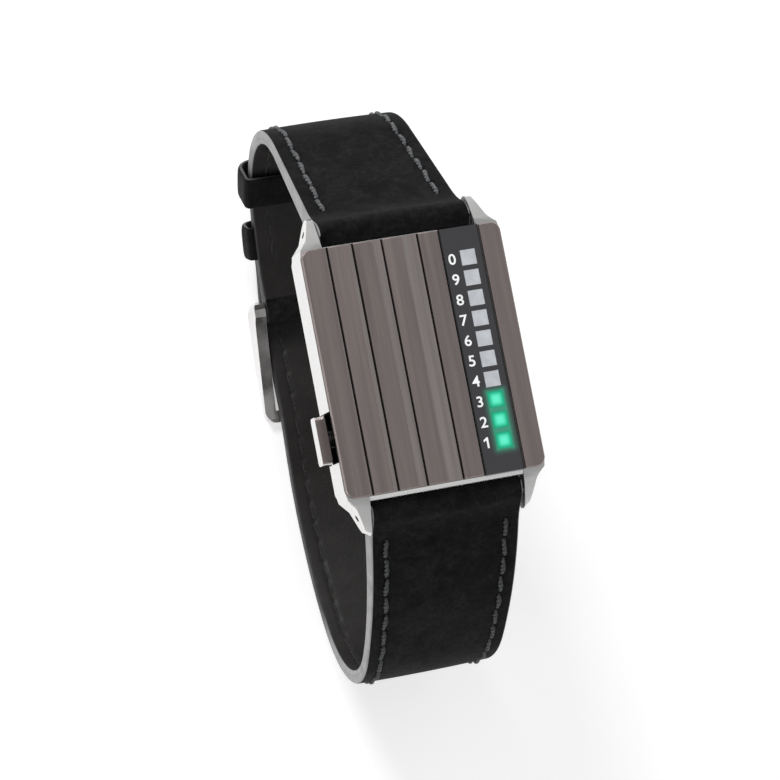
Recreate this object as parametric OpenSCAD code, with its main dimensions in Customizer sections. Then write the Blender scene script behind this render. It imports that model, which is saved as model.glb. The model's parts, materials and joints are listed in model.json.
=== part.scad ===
// Wristwatch that tells the time with a column of ten small light windows.
// Rectangular case with a ribbed cover, a dark display strip, a side pusher
// and a closed leather strap with a pin buckle.
//
// X runs to 3 o'clock, Y to 12 o'clock and Z out of the face. The origin is
// the centre of the outer face of the case back. All sizes are millimetres.

/* [Case] */
// Width of the case across 9 and 3 o'clock
case_w = 28.6; // [28:0.1:32]
// Length of the case without its lugs
case_len = 34.3; // [33.5:0.1:38]
// Height of the case frame between the case back and the covers
frame_h = 7.0; // [6.8:0.1:7.6]
// Height of the polished sides
side_h = 5.5; // [5:0.1:5.8]
// Radius of the upright corners
corner_r = 1.4; // [0.6:0.1:2]
// Wall around the module at 3 and 9 o'clock
wall_x = 2.0; // [1.8:0.1:2.4]
// Wall around the module at 12 and 6 o'clock
wall_y = 2.35; // [2.1:0.05:2.8]
// Thickness of the deck over the module
deck_t = 1.0; // [0.9:0.05:1.2]
// Thickness of the case back
back_t = 1.0; // [0.8:0.05:1.4]
// How far the underside of the case is drawn in
step_in = 1.1; // [0.9:0.05:1.2]

/* [Lugs] */
// Gap between the lugs, which is the strap size
lug_gap = 22; // [20:0.5:22]
// Length of a lug beyond the end of the case
lug_len = 4.6; // [4.2:0.1:5.4]
// Width of a lug at its tip
lug_tip_w = 0.9; // [0.7:0.1:1.4]
// Distance of the spring bar from the end of the case
bar_out = 2.45; // [2.3:0.05:2.8]
// Height of the spring bars above the case back
bar_z = 4.9; // [4.6:0.1:5.2]

/* [Covers] */
// Thickness of the covers and of the display strip above the deck
cover_t = 0.6; // [0.5:0.05:0.8]
// Width of the flat ribs
rib_w = 2.75; // [2.5:0.05:2.9]
// Widths of the sunken bands between the ribs, from 9 to 3 o'clock
band_w = [0.4, 0.85, 1.4, 2.35];
// Depth of the sunken bands
band_depth = 0.25; // [0.2:0.05:0.4]
// Width of the dark slot at the right of each sunken band
slot_w = 0.25; // [0.15:0.05:0.35]

/* [Display] */
// Width of the plain cover at 3 o'clock
side_w = 3.15; // [2.8:0.05:3.5]
// Width of the display strip
strip_w = 5.65; // [5.4:0.05:5.9]
// Number of light windows
led_count = 10; // [6:1:10]
// Distance of the outermost windows' centres from the ends of the case
led_margin = 4.4; // [3.6:0.05:5]
// Side of a light window
led_side = 2.2; // [1.8:0.1:2.3]
// Distance of the windows' centre line from the strip's left edge
led_in = 3.55; // [3.4:0.05:3.6]
// Number of windows that are lit, counted from 6 o'clock
lit_count = 3; // [1:1:5]

/* [Pusher] */
// Distance of the pusher below the middle of the case
pusher_drop = 8.4; // [7.5:0.1:9]
// Height of the pusher's axis above the case back
pusher_z = 4.0; // [3.9:0.1:4.1]
// Length of the pusher's head
pusher_len = 6.2; // [5:0.1:6.6]
// Height of the pusher's head
pusher_h = 2.4; // [2:0.1:2.6]
// How far the pusher stands out of the case
pusher_out = 1.2; // [1:0.1:1.5]
// Depth of the notch that the pusher sits in
notch_depth = 1.2; // [1.1:0.05:1.25]
// Travel of the pusher
pusher_travel = 0.7; // [0.5:0.05:0.75]

/* [Spring bars] */
// Outer radius of the bar tubes
bar_r = 0.75; // [0.65:0.05:0.8]
// Radius of the pins that enter the lugs
pin_r = 0.4; // [0.35:0.05:0.45]
// How far the pins reach into the lugs
pin_reach = 1.0; // [0.8:0.05:1.1]

/* [Strap] */
// Thickness of the strap at the lugs
root_t = 3.5; // [3.2:0.1:3.8]
// Thickness of the short strap past its padding
short_t = 2.5; // [2.3:0.1:2.7]
// Thickness of the long strap past its padding
long_t = 2.2; // [2:0.1:2.3]
// Thickness of the lining
lining_t = 0.9; // [0.7:0.1:1]
// Width of the strap at the buckle
tip_w = 18.2; // [17:0.1:18.4]
// Length of the straight run from the upper lugs to the crest
front_run = 16.9; // [15:0.1:19]
// Radius of the bend at the crest
crest_r = 14.5; // [13:0.1:16]
// Radius of the gentle bend down to the buckle
back_r = 43.8; // [38:0.1:50]
// Radius of the gentle bend below the lower lugs
front_r = 57; // [50:0.5:65]
// Radius of the bottom bend
bottom_r = 15; // [13.5:0.1:16]
// Radius of the bend from the bottom to the buckle
rise_r = 54; // [48:0.5:60]
// Length of the rounded point of the tail
point_len = 9; // [7:0.5:11]
// Radius of the adjustment holes
hole_r = 0.9; // [0.7:0.05:1.1]
// Spacing of the adjustment holes
hole_pitch = 6.5; // [6:0.1:7]

/* [Keepers] */
// Width of a keeper along the strap
keeper_w = 6; // [5:0.1:6.4]
// Thickness of a keeper
keeper_t = 1.35; // [1:0.05:1.5]
// Distance of the fixed keeper's middle from the buckle bar
fixed_at = 10.6; // [10:0.1:11]
// Strap left showing between the keepers
keeper_gap = 2.4; // [2:0.1:3]

/* [Buckle] */
// Length of the buckle frame from its bar to its far edge
buckle_len = 16.4; // [15:0.1:18]
// Depth of the buckle frame's flat side below its bar
buckle_drop = 5.5; // [5.4:0.05:5.8]
// Width of a leg of the buckle frame
leg_w = 1.7; // [1.4:0.1:2]
// Width of the tongue
tang_w = 1.8; // [1.5:0.1:2]

/* [Hidden] */
$fn = 48;

// Clearances
run = 0.05;   // around a pin or shaft that turns or slides
seat = 0.03;  // around a piece that is fitted and stays
lay = 0.1;    // between two layers of strap
loose = 0.35; // between a keeper and the strap

// Levels of the case
deck_z = back_t + frame_h;
face_z = deck_z + cover_t;
side_z = deck_z - side_h;
roof_z = deck_z - deck_t;
inner_x = case_w/2 - wall_x;
inner_y = case_len/2 - wall_y;
edge = 0.1;              // step between the sides and the covers
cover_x = case_w/2 - edge;
cover_y = case_len/2 - edge;
strip_x = cover_x - side_w - strip_w;
groove = 0.2;            // dark line on each side of the display strip
bevel = 0.15;            // small bevel along the edges of the covers
slot_floor = 0.1;        // metal left under the dark slots

// Module
board_t = 0.8;
board_z = roof_z - 0.6 - board_t;
board_x = inner_x - 0.4;
board_y = inner_y - 0.5;
led_x = strip_x + led_in;
led_pitch = (case_len - 2*led_margin)/(led_count - 1);
well = led_side - 0.4;
mask_x = led_side/2 + 0.25;
mask_y = (led_count - 1)/2 * led_pitch + led_side/2 + 0.4;
sink = 0.4;              // how far the display strip is let into the deck
cell_r = 10;
cell_t = 1.6;
cell_y = 3.6;
cell_z = back_t + 0.1;
boss_r = 1.35;
boss_x = inner_x - 0.55;
boss_y = inner_y - 0.55;
screw_r = 0.6;

// Pusher
stem_r = 0.8;
tube_r = 1.5;
notch_x = -case_w/2 + notch_depth;
head_x = -case_w/2 - pusher_out;
head_t = pusher_out;
tube_len = 1.5;
clip_t = 0.2;
stem_end = notch_x + tube_len + clip_t + 0.2;
plunger_r = 0.5;
switch_x = stem_end + pusher_travel + 0.1;
switch_size = [3, 3.5, board_z - pusher_z + 1.1];

// Spring bars
bar_y = case_len/2 + bar_out;
upper = [bar_y, bar_z];
lower = [-bar_y, bar_z];
flange_t = 0.4;
flange_in = 0.25;        // flange to the inner face of the lug
pin_travel = pin_reach + 0.15;
tube_back = flange_in + flange_t + pin_travel + 0.15;
crimp = 0.3;             // end wall of the bar tube
piston_len = 2;
piston_r = bar_r - 0.25;

// A point of a strap route is [y, z, heading, distance travelled]
function along(p, length, turn, f) =
    let (a = turn*f, d = length*f)
    let (chord = abs(a) < 0.001 ? d : d*sin(a/2)/(a/2*PI/180))
    [p[0] + chord*cos(p[2] + a/2), p[1] + chord*sin(p[2] + a/2), p[2] + a, p[3] + d];
function arc(r, turn) = r*abs(turn)*PI/180;
// A route follows bends of [length, turn, steps]
function route(p, bends, i = 0) = i == len(bends) ? [p] :
    let (b = bends[i])
    concat([for (k = [0:b[2] - 1]) along(p, b[0], b[1], k/b[2])],
        route(along(p, b[0], b[1], 1), bends, i + 1));
function last(list) = list[len(list) - 1];
// A smooth stretch from point a to point b, without b itself
function stretch(a, b, steps) =
    let (span = norm([b[0] - a[0], b[1] - a[1]]))
    let (ta = span*[cos(a[2]), sin(a[2])], tb = span*[cos(b[2]), sin(b[2])])
    let (pa = [a[0], a[1]], pb = [b[0], b[1]])
    [for (k = [0:steps - 1])
        let (f = k/steps)
        let (p = (2*f*f*f - 3*f*f + 1)*pa + (f*f*f - 2*f*f + f)*ta + (3*f*f - 2*f*f*f)*pb + (f*f*f - f*f)*tb)
        let (d = (6*f*f - 6*f)*(pa - pb) + (3*f*f - 4*f + 1)*ta + (3*f*f - 2*f)*tb)
        [p[0], p[1], atan2(d[1], d[0]), a[3] + span*f]];
// The place a distance n outside the route, side 1 or -1 says which hand
function outside(p, n, side) = [p[0] - side*n*sin(p[2]), p[1] + side*n*cos(p[2])];
function turned(p) = [-p[0], p[1], 180 - p[2], p[3]];
// The point of a route at distance s
function place(r, s) =
    let (i = max([for (k = [0:len(r) - 2]) if (r[k][3] <= s || k == 0) k]))
    let (f = (s - r[i][3])/(r[i + 1][3] - r[i][3]))
    r[i] + f*(r[i + 1] - r[i]);

// Short strap, from the upper lugs over the crest to the buckle bar
dip_len = 5;             // first stretch, which dips between the lugs
short_start = -70;
short_dip = 25;
crest_turn = -105;
back_turn = -22;
short_route = route([upper[0], upper[1], short_start, 0], [
    [dip_len, short_dip, 4],
    [front_run, 0, 3],
    [arc(crest_r, crest_turn), crest_turn, 21],
    [arc(back_r, back_turn), back_turn, 8]]);
short_end = last(short_route);
short_len = short_end[3];
crest_end = [0, 0, short_start + short_dip + crest_turn, dip_len + front_run + arc(crest_r, crest_turn)];
buckle = [short_end[0], short_end[1]];
eye_r = bar_r + 1.0;     // leather folded round the buckle bar
eye_fade = 5;            // where the fold meets the strap's own thickness

// Centre of the crest bend, about which the free keeper slides
crest_mid = place(short_route, crest_end[3]);
crest_c = outside(crest_mid, -crest_r, 1);
crest_low = crest_end[2] + 90;

// Long strap, from the lower lugs round the bottom to the far bar
long_start = -60;
long_dip = 22;
front_turn = -23;
bottom_turn = -91;
rise_turn = -26;
long_front = route([bar_y, bar_z, long_start, 0], [
    [dip_len, long_dip, 4],
    [arc(front_r, front_turn), front_turn, 5],
    [arc(bottom_r, bottom_turn), bottom_turn, 18],
    [arc(rise_r, rise_turn), rise_turn, 6]]);
long_a = [for (p = long_front) turned(p)];
// Past the far bar, over the buckle bar and along the short strap
bar_gap = 0.1;           // between the long strap and the far bar
far_bar_t = buckle_drop - 3.85;
far_y = buckle[0] - buckle_len + 0.9;
far_z = buckle[1] - buckle_drop + far_bar_t + bar_gap + long_t/2;
far_point = [far_y, far_z, 1, last(long_a)[3] + far_y - last(long_a)[0]];
tail_heading = short_end[2] + 180;
over_d = eye_r + lay + long_t/2;
over_xy = outside(short_end, over_d, 1);
over_point = [over_xy[0], over_xy[1], tail_heading, far_point[3] + over_xy[0] - far_y];
join_s = 7;              // where the tail lies flat on the short strap
join_on = place(short_route, short_len - join_s);
tail_d = short_t/2 + lay + long_t/2;
join_xy = outside(join_on, tail_d, 1);
join_point = [join_xy[0], join_xy[1], join_on[2] + 180, over_point[3] + join_s];
join_turn = join_on[2] - crest_end[2];
tail_turn = 44;
tail = route(join_point, [
    [arc(back_r + tail_d, join_turn), abs(join_turn), 5],
    [arc(crest_r + tail_d, tail_turn), tail_turn, 14]]);
long_route = concat([for (k = [0:len(long_a) - 2]) long_a[k]],
    stretch(last(long_a), far_point, 4), stretch(far_point, over_point, 6),
    stretch(over_point, join_point, 4), tail);
long_len = last(long_route)[3];
hole_s = over_point[3] - 3.2;

// Buckle
buckle_in = tip_w/2 + 0.3;
buckle_out = buckle_in + leg_w;
tang_ring = bar_r + run + 0.55;
tang_t = 1.0;
notch_t = 0.6;           // depth of the rest for the tongue's tip
slot_clear = 0.3;        // between the tongue and the leather around it

// Keepers
fixed_s = short_len - fixed_at;
free_angle = crest_low + (short_len - fixed_at - keeper_w - keeper_gap - crest_end[3])/crest_r*-180/PI;
keeper_span = keeper_w/crest_r*180/PI;

// Strap sections
root_w = lug_gap - 0.8;
function fade(s, length) = max(0, 1 - s/length);
function width_at(s, whole) = root_w + (tip_w - root_w)*min(1, s/whole);
// Half thickness with padding near the lugs and a round end about the bar
function half_t(s, t) = s < 0 ? sqrt(max(0.01, root_t*root_t/4 - s*s)) :
    t/2 + (root_t - t)/2*fade(s, dip_len + front_run);
function eye_t(s, r, t) = s < 0 ? sqrt(max(0.01, r*r - s*s)) : t + (r - t)*fade(s, eye_fade);

module along_x() rotate([90, 0, 90]) children();
module centred_x(w) translate([-w/2, 0, 0]) along_x() linear_extrude(w) children();
module rod(r, x0, x1) translate([x0, 0, 0]) rotate([0, 90, 0]) cylinder(r = r, h = x1 - x0);

module rounded(w, l, r) {
    square([w - 2*r, l], center = true);
    square([w, l - 2*r], center = true);
    for (x = [-1, 1], y = [-1, 1]) translate([x*(w/2 - r), y*(l/2 - r)]) circle(r);
}

module slab(w, l, r, z0, z1) translate([0, 0, z0]) linear_extrude(z1 - z0) rounded(w, l, r);

module block(x0, x1, y0, y1, z0, z1) translate([x0, y0, z0]) cube([x1 - x0, y1 - y0, z1 - z0]);

// A closed skin over rings that have the same number of points
module skin(rings) {
    n = len(rings);
    m = len(rings[0]);
    sides = [for (i = [0:n - 2], j = [0:m - 1], k = [0, 1])
        let (a = i*m + j, b = i*m + (j + 1) % m, c = a + m, d = b + m)
        k == 0 ? [a, d, b] : [a, c, d]];
    caps = [for (j = [1:m - 2], k = [0, 1])
        k == 0 ? [0, j, j + 1] : [(n - 1)*m, (n - 1)*m + j + 1, (n - 1)*m + j]];
    polyhedron([for (r = rings) for (p = r) p], concat(sides, caps));
}

// A coil spring along X
module coil(r, wire, x0, x1, turns) {
    steps = turns*8;
    skin([for (i = [0:steps])
        let (a = -i*45, x = x0 + wire/2 + (x1 - x0 - wire)*i/steps)
        [for (b = [0:60:300])
            let (q = r + wire/2*cos(b))
            [x + wire/2*sin(b), q*cos(a), q*sin(a)]]]);
}

// A ring of strap section: half width w, from n0 to n1, rounded by e on top or below
function ring(p, side, w, n0, n1, top, e) =
    let (low = [[-w, n0 + (top ? 0 : e)], [-w, n1 - (top ? e : 0)]],
        mid = top ? [[-w + 0.3*e, n1 - 0.3*e], [-w + e, n1], [w - e, n1], [w - 0.3*e, n1 - 0.3*e]] : [],
        high = [[w, n1 - (top ? e : 0)], [w, n0 + (top ? 0 : e)]],
        base = top ? [] : [[w - 0.3*e, n0 + 0.3*e], [w - e, n0], [-w + e, n0], [-w + 0.3*e, n0 + 0.3*e]])
    let (section = concat(low, mid, high, base))
    [for (q = side > 0 ? section : [for (k = [len(section) - 1:-1:0]) section[k]])
        let (yz = outside(p, q[1], side))
        [q[0], yz[0], yz[1]]];

module case_plan(inset, z0, z1) slab(case_w - 2*inset, case_len - 2*inset, corner_r, z0, z1);

// Side view of a lug at 12 o'clock
module lug_side() polygon([
    [inner_y, side_z + 0.2], [inner_y, deck_z], [case_len/2, deck_z],
    [case_len/2 + 0.71*lug_len, deck_z - 0.24*side_h - 0.35],
    [case_len/2 + 0.93*lug_len, deck_z - 0.24*side_h - 1.1],
    [case_len/2 + lug_len, deck_z - 0.24*side_h - 2.1],
    [case_len/2 + 0.96*lug_len, bar_z - 1.4],
    [case_len/2 + 0.8*lug_len, bar_z - 1.75],
    [case_len/2, side_z + 0.2]]);

module lug() intersection() {
    translate([lug_gap/2, 0, 0]) along_x() linear_extrude(case_w/2 - lug_gap/2) lug_side();
    linear_extrude(face_z) polygon([
        [lug_gap/2, inner_y], [case_w/2, inner_y], [case_w/2, case_len/2 - corner_r],
        [case_w/2 - 0.25, case_len/2], [lug_gap/2 + lug_tip_w + 1.45, case_len/2 + 0.3*lug_len],
        [lug_gap/2 + lug_tip_w, case_len/2 + lug_len], [lug_gap/2, case_len/2 + lug_len]]);
}

module pegs(points, r, z0) for (p = points) translate([p[0], p[1], z0]) cylinder(r = r, h = deck_z - z0);
peg_r = 0.5;
peg_y = inner_y + wall_y/2;
left_pegs = [[-cover_x + 1.3, peg_y], [-cover_x + 1.3, -peg_y], [strip_x - 1.2, peg_y], [strip_x - 1.2, -peg_y]];
right_pegs = [[cover_x - 1.3, peg_y], [cover_x - 1.3, -peg_y]];

module case_frame() color([0.86, 0.86, 0.87]) difference() {
    union() {
        case_plan(0, side_z, deck_z);
        case_plan(step_in/2, side_z - 0.7, side_z);
        case_plan(step_in, back_t, side_z - 0.7);
        for (x = [0, 1], y = [0, 1]) mirror([x, 0, 0]) mirror([0, y, 0]) lug();
    }
    difference() {
        slab(2*inner_x, 2*inner_y, 1, back_t - 1, roof_z);
        for (x = [-1, 1], y = [-1, 1]) translate([x*boss_x, y*boss_y, 0]) cylinder(r = boss_r, h = roof_z);
        for (x = [-board_x + 1.6, strip_x], y = [-1, 1])
            translate([x, y*(board_y - 1), board_z + board_t]) cylinder(r = 0.8, h = 2);
    }
    for (x = [-1, 1], y = [-1, 1])
        translate([x*boss_x, y*boss_y, -1]) cylinder(r = screw_r + seat, h = back_t + 4);
    block(strip_x - run, strip_x + strip_w + run, -case_len, case_len, deck_z - sink, deck_z + 1);
    block(led_x - mask_x - run, led_x + mask_x + run, -mask_y - run, mask_y + run, roof_z - 1, deck_z);
    block(-case_w, notch_x, -pusher_drop - pusher_len/2 - 0.4, -pusher_drop + pusher_len/2 + 0.4, side_z, deck_z + 1);
    translate([0, -pusher_drop, pusher_z]) rod(tube_r, -case_w, -inner_x + 0.1);
    for (y = [-bar_y, bar_y]) translate([0, y, bar_z]) rod(pin_r + run, -case_w, case_w);
    pegs(left_pegs, peg_r + seat, deck_z - 0.8);
    pegs(right_pegs, peg_r + seat, deck_z - 0.8);
}

// Positions of the bands: x of each rib's left edge, worked out from the display
rib_right = strip_x - groove;
function band_sum(i) = i >= len(band_w) ? 0 : band_w[i] + band_sum(i + 1);
function band_x1(i) = rib_right - (len(band_w) - i)*rib_w - band_sum(i + 1);

// The part of the bevelled face plate between x0 and x1
module cover_plate(x0, x1) intersection() {
    hull() {
        slab(2*cover_x, 2*cover_y, corner_r - edge, deck_z, face_z - bevel);
        slab(2*cover_x - 2*bevel, 2*cover_y - 2*bevel, corner_r - edge - bevel, deck_z, face_z);
    }
    block(x0, x1, -case_len, case_len, 0, 2*face_z);
}

module ribbed_cover() color([0.5, 0.46, 0.45]) union() {
    difference() {
        cover_plate(-case_w, rib_right);
        for (i = [0:len(band_w) - 1]) {
            x1 = band_x1(i);
            block(x1 - band_w[i], x1, -case_len, case_len, face_z - band_depth, face_z + 1);
            block(x1 - slot_w, x1, -case_len, case_len, deck_z + slot_floor, face_z + 1);
        }
    }
    pegs(left_pegs, peg_r, deck_z - 0.7);
}

module side_cover() color([0.5, 0.46, 0.45]) union() {
    cover_plate(strip_x + strip_w + groove, case_w);
    pegs(right_pegs, peg_r, deck_z - 0.7);
}

function led_y(i) = ((led_count - 1)/2 - i)*led_pitch;

module display_strip() color([0.2, 0.2, 0.23]) difference() {
    block(strip_x, strip_x + strip_w, -cover_y, cover_y, deck_z - sink, face_z - edge);
    for (i = [0:led_count - 1]) translate([led_x - led_side/2, led_y(i) - led_side/2, deck_z - sink - 1])
        cube([led_side, led_side, 4]);
}

module lenses(from, to) for (i = [from:to])
    translate([led_x - led_side/2 + seat, led_y(i) - led_side/2 + seat, deck_z - sink])
        cube([led_side - 2*seat, led_side - 2*seat, sink + cover_t - edge - 0.05]);
module unlit_lenses() color([0.8, 0.82, 0.84]) lenses(0, led_count - lit_count - 1);
module lit_lenses() color([0.3, 0.9, 0.6]) lenses(led_count - lit_count, led_count - 1);

module light_mask() color([0.1, 0.1, 0.1]) difference() {
    block(led_x - mask_x, led_x + mask_x, -mask_y, mask_y, board_z + board_t, deck_z - sink);
    for (i = [0:led_count - 1]) translate([led_x - well/2, led_y(i) - well/2, 0]) cube([well, well, face_z]);
}

module led_chips() color([0.9, 0.9, 0.8]) for (i = [0:led_count - 1])
    translate([led_x - 0.8, led_y(i) - 0.4, board_z + board_t]) cube([1.6, 0.8, 0.5]);

module circuit_board() color([0.05, 0.3, 0.15]) difference() {
    slab(2*board_x, 2*board_y, 0.8, board_z, board_z + board_t);
    for (x = [-1, 1], y = [-1, 1]) translate([x*boss_x, y*boss_y, 0]) cylinder(r = boss_r + 0.2, h = face_z);
}

module driver_chip() color([0.08, 0.08, 0.08]) {
    block(-5.5, -0.5, -2.5, 2.5, board_z - 1, board_z - 0.1);
    for (i = [0:7], x = [-6.1, -0.6]) translate([x, -2.2 + i*0.6, board_z - 0.3]) cube([0.7, 0.25, 0.3]);
}

module quartz_crystal() color([0.8, 0.8, 0.8]) translate([0, 6.5, board_z - 0.75]) rod(0.75, -6.5, -1);

module chip_capacitors() color([0.75, 0.6, 0.4]) for (i = [0:7])
    translate([1.5 + 1.9*(i % 4), i < 4 ? 7.5 : -5, board_z - 0.6]) cube([0.8, 1.6, 0.6]);

module tactile_switch() color([0.15, 0.15, 0.15]) difference() {
    translate([switch_x, -pusher_drop - switch_size[1]/2, board_z - switch_size[2]]) cube(switch_size);
    translate([0, -pusher_drop, pusher_z]) rod(plunger_r + run, switch_x - 1, switch_x + 1.5);
}

module switch_plunger() color([0.8, 0.3, 0.2])
    translate([0, -pusher_drop, pusher_z]) rod(plunger_r, stem_end, switch_x + 0.6);

module module_holder() color([0.3, 0.3, 0.32]) difference() {
    slab(2*inner_x - 0.6, 2*inner_y - 0.6, 1, back_t + 0.05, board_z);
    translate([0, cell_y, 0]) cylinder(r = cell_r + 0.1, h = cell_z + cell_t + run);
    translate([0, 0.6, cell_z + cell_t + 0.8]) linear_extrude(5)
        rounded(2*inner_x - 5.6, 2*inner_y - 8.6, 1.5);
    block(0.5, 5.5, 2, 5, 0, board_z);
    block(-inner_x, switch_x + switch_size[0] + 0.2, -pusher_drop - 2.2, -pusher_drop + 2.2,
        pusher_z - tube_r - 0.3, face_z);
    for (x = [-1, 1], y = [-1, 1]) translate([x*boss_x, y*boss_y, 0]) cylinder(r = boss_r + 0.2, h = face_z);
}

module battery_cell() color([0.75, 0.75, 0.74]) translate([0, cell_y, cell_z]) union() {
    cylinder(r = cell_r, h = cell_t - 0.1);
    translate([0, 0, cell_t - 0.1]) cylinder(r = cell_r - 1.5, h = 0.1);
}

// Leaf between the board and the cell
module battery_contact() color([0.8, 0.65, 0.3]) translate([0, 4.5, 0]) rotate([90, 0, 0]) linear_extrude(2)
    polygon([[1, board_z - 0.2], [1, board_z], [2.4, board_z], [4.2, cell_z + cell_t + 0.2],
        [5.2, cell_z + cell_t + 0.2], [5.2, cell_z + cell_t], [4.05, cell_z + cell_t], [2.25, board_z - 0.2]]);

module gasket_ring(slack) difference() {
    slab(case_w - 2*step_in - 0.5 + 2*slack, case_len - 2*step_in - 0.5 + 2*slack, 1, back_t - 0.45 - slack, back_t);
    slab(case_w - 2*step_in - 1.3 - 2*slack, case_len - 2*step_in - 1.3 - 2*slack, 0.7, 0, back_t + 1);
}
module back_gasket() color([0.1, 0.1, 0.1]) gasket_ring(0);

module case_back() color([0.7, 0.7, 0.7]) difference() {
    union() {
        case_plan(step_in, 0.3, back_t);
        case_plan(step_in + 0.4, 0, 0.3);
    }
    gasket_ring(seat);
    translate([0, 0, back_t]) gasket_ring(seat);
    for (x = [-1, 1], y = [-1, 1]) translate([x*boss_x, y*boss_y, -1]) {
        cylinder(r = screw_r + seat, h = 3);
        cylinder(r = 2*screw_r - 0.15 + seat, h = 1.55);
    }
}

module back_screws() color([0.8, 0.8, 0.8]) for (x = [-1, 1], y = [-1, 1])
    translate([x*boss_x, y*boss_y, 0.05]) difference() {
        union() {
            cylinder(r = screw_r, h = back_t + 2.8);
            cylinder(r = 2*screw_r - 0.15, h = 0.5);
        }
        translate([-1.5, -0.12, -1]) cube([3, 0.24, 1.2]);
    }

module at_pusher() translate([0, -pusher_drop, pusher_z]) children();

module pusher_tube() color([0.8, 0.8, 0.8]) at_pusher() difference() {
    rod(tube_r, notch_x, notch_x + tube_len);
    rod(stem_r + run, notch_x - 1, notch_x + tube_len + 1);
    rod(stem_r + 0.35, notch_x + 0.5, notch_x + 0.9);
}

module pusher_button() color([0.8, 0.79, 0.78]) at_pusher() difference() {
    union() {
        translate([head_x, 0, 0]) rotate([0, 90, 0]) linear_extrude(head_t) rounded(pusher_h, pusher_len, 0.5);
        rod(stem_r, head_x + head_t, stem_end);
    }
    difference() {
        rod(stem_r + 1, notch_x + tube_len + run, notch_x + tube_len + run + clip_t);
        rod(stem_r - 0.2, notch_x, stem_end);
    }
}

module pusher_spring() color([0.7, 0.7, 0.72]) at_pusher() coil(stem_r + 0.3, 0.24, head_x + head_t, notch_x, 3);

module pusher_seal() color([0.1, 0.1, 0.1]) at_pusher() translate([notch_x + 0.7, 0, 0]) rotate([0, 90, 0])
    rotate_extrude() translate([stem_r + 0.185, 0]) circle(0.155, $fn = 24);

module pusher_clip() color([0.6, 0.6, 0.62]) at_pusher() difference() {
    rod(stem_r + 0.5, notch_x + tube_len + run + 0.02, notch_x + tube_len + run + clip_t - 0.02);
    rod(stem_r - 0.18, notch_x, stem_end);
    translate([notch_x, -0.4, -3]) cube([3, 0.8, 3]);
}

// Spring bars: tube, two sprung tips and the spring, at a place with a half gap
module bar_tube(at, gap) color([0.75, 0.75, 0.76]) translate([0, at[0], at[1]]) difference() {
    rod(bar_r, -gap + tube_back, gap - tube_back);
    rod(piston_r + run, -gap + tube_back + crimp, gap - tube_back - crimp);
    rod(pin_r + run, -gap, gap);
}
module bar_tip(at, gap, hand) color([0.85, 0.85, 0.86]) translate([0, at[0], at[1]])
    mirror([hand < 0 ? 1 : 0, 0, 0]) union() {
        rod(pin_r, gap - tube_back - crimp - 0.1, gap + pin_reach);
        rod(bar_r - 0.05, gap - flange_in - flange_t, gap - flange_in);
        rod(piston_r, gap - tube_back - crimp - run - piston_len, gap - tube_back - crimp - run);
    }
module bar_spring(at, gap) color([0.6, 0.6, 0.62]) translate([0, at[0], at[1]]) {
    reach = gap - tube_back - crimp - run - piston_len;
    coil(piston_r - 0.12, 0.16, -reach, reach, 10);
}

module strap_skin(points, side, part, whole, t, eye) {
    skin([for (p = points)
        let (back = whole - p[3])
        let (h = eye ? max(half_t(p[3], t), eye_t(back, eye_r, t/2)) : half_t(p[3], t))
        let (tip = eye ? 1 : sqrt(1 - pow(0.97*fade(back, point_len), 2)))
        let (hh = back < 0 ? eye_t(back, eye_r, t/2) : h)
        let (w = width_at(p[3], short_len)/2*tip)
        let (split = -hh + min(lining_t, 1.1*hh))
        part == "leather" ? ring(p, side, w, split, hh, true, min(0.4, hh - split - 0.05)) :
            ring(p, side, w, -hh, split, false, min(0.3, (split + hh)/2))]);
}

// A route with rounded ends about its bars
function round_start(r, radius) = concat([for (f = [-0.97, -0.8, -0.5]) along(r[0], radius, 0, f)], r);
function round_end(r, radius) = concat(r, [for (f = [0.5, 0.8, 0.97]) along(last(r), radius, 0, f)]);
short_points = round_end(round_start(short_route, root_t/2), eye_r);
long_points = round_start(long_route, root_t/2);

module bar_bore(at) translate([0, at[0], at[1]]) rod(bar_r + lay, -lug_gap, lug_gap);

module short_strap(part) difference() {
    strap_skin(short_points, 1, part, short_len, short_t, true);
    keeper_band(0.02);
    bar_bore(upper);
    bar_bore(buckle);
    translate([0, buckle[0], buckle[1]])
        block(-tang_w/2 - slot_clear, tang_w/2 + slot_clear, -3, tang_ring + 0.5, -2.6, 2.6);
}
module short_strap_leather() color([0.13, 0.13, 0.14]) short_strap("leather");
module short_strap_lining() color([0.2, 0.18, 0.17]) short_strap("lining");

module long_strap(part) difference() {
    strap_skin(long_points, -1, part, long_len, long_t, false);
    bar_bore(lower);
    translate([0, buckle[0], buckle[1]])
        block(-tang_w/2 - slot_clear, tang_w/2 + slot_clear, -5.9, 0.2, -4.6, -1.2);
    for (k = [-3, -2, -1, 2, 3]) {
        p = place(long_route, hole_s + k*hole_pitch);
        translate([0, p[0], p[1]]) rotate([p[2], 0, 0]) cylinder(r = hole_r, h = 6, center = true);
    }
}
module long_strap_leather() color([0.13, 0.13, 0.14]) long_strap("leather");
module long_strap_lining() color([0.2, 0.18, 0.17]) long_strap("lining");

// A band bent about the centre c: radii, half width and angles
module bent(c, r0, r1, w, a0, a1) translate([0, c[0], c[1]]) along_x() rotate([0, 0, a0])
    rotate_extrude(angle = a1 - a0, $fn = 96) translate([r0, -w]) square([r1 - r0, 2*w]);

module free_keeper() color([0.12, 0.12, 0.13]) {
    s = short_len - fixed_at - keeper_w - keeper_gap;
    w = width_at(s, short_len)/2 + loose;
    r0 = crest_r - short_t/2 - loose;
    r1 = crest_r + tail_d + long_t/2 + loose;
    a0 = free_angle - keeper_span/2;
    a1 = free_angle + keeper_span/2;
    difference() {
        bent(crest_c, r0 - keeper_t, r1 + keeper_t, w + keeper_t, a0, a1);
        bent(crest_c, r0, r1, w, a0 - 2, a1 + 2);
    }
}

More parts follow.
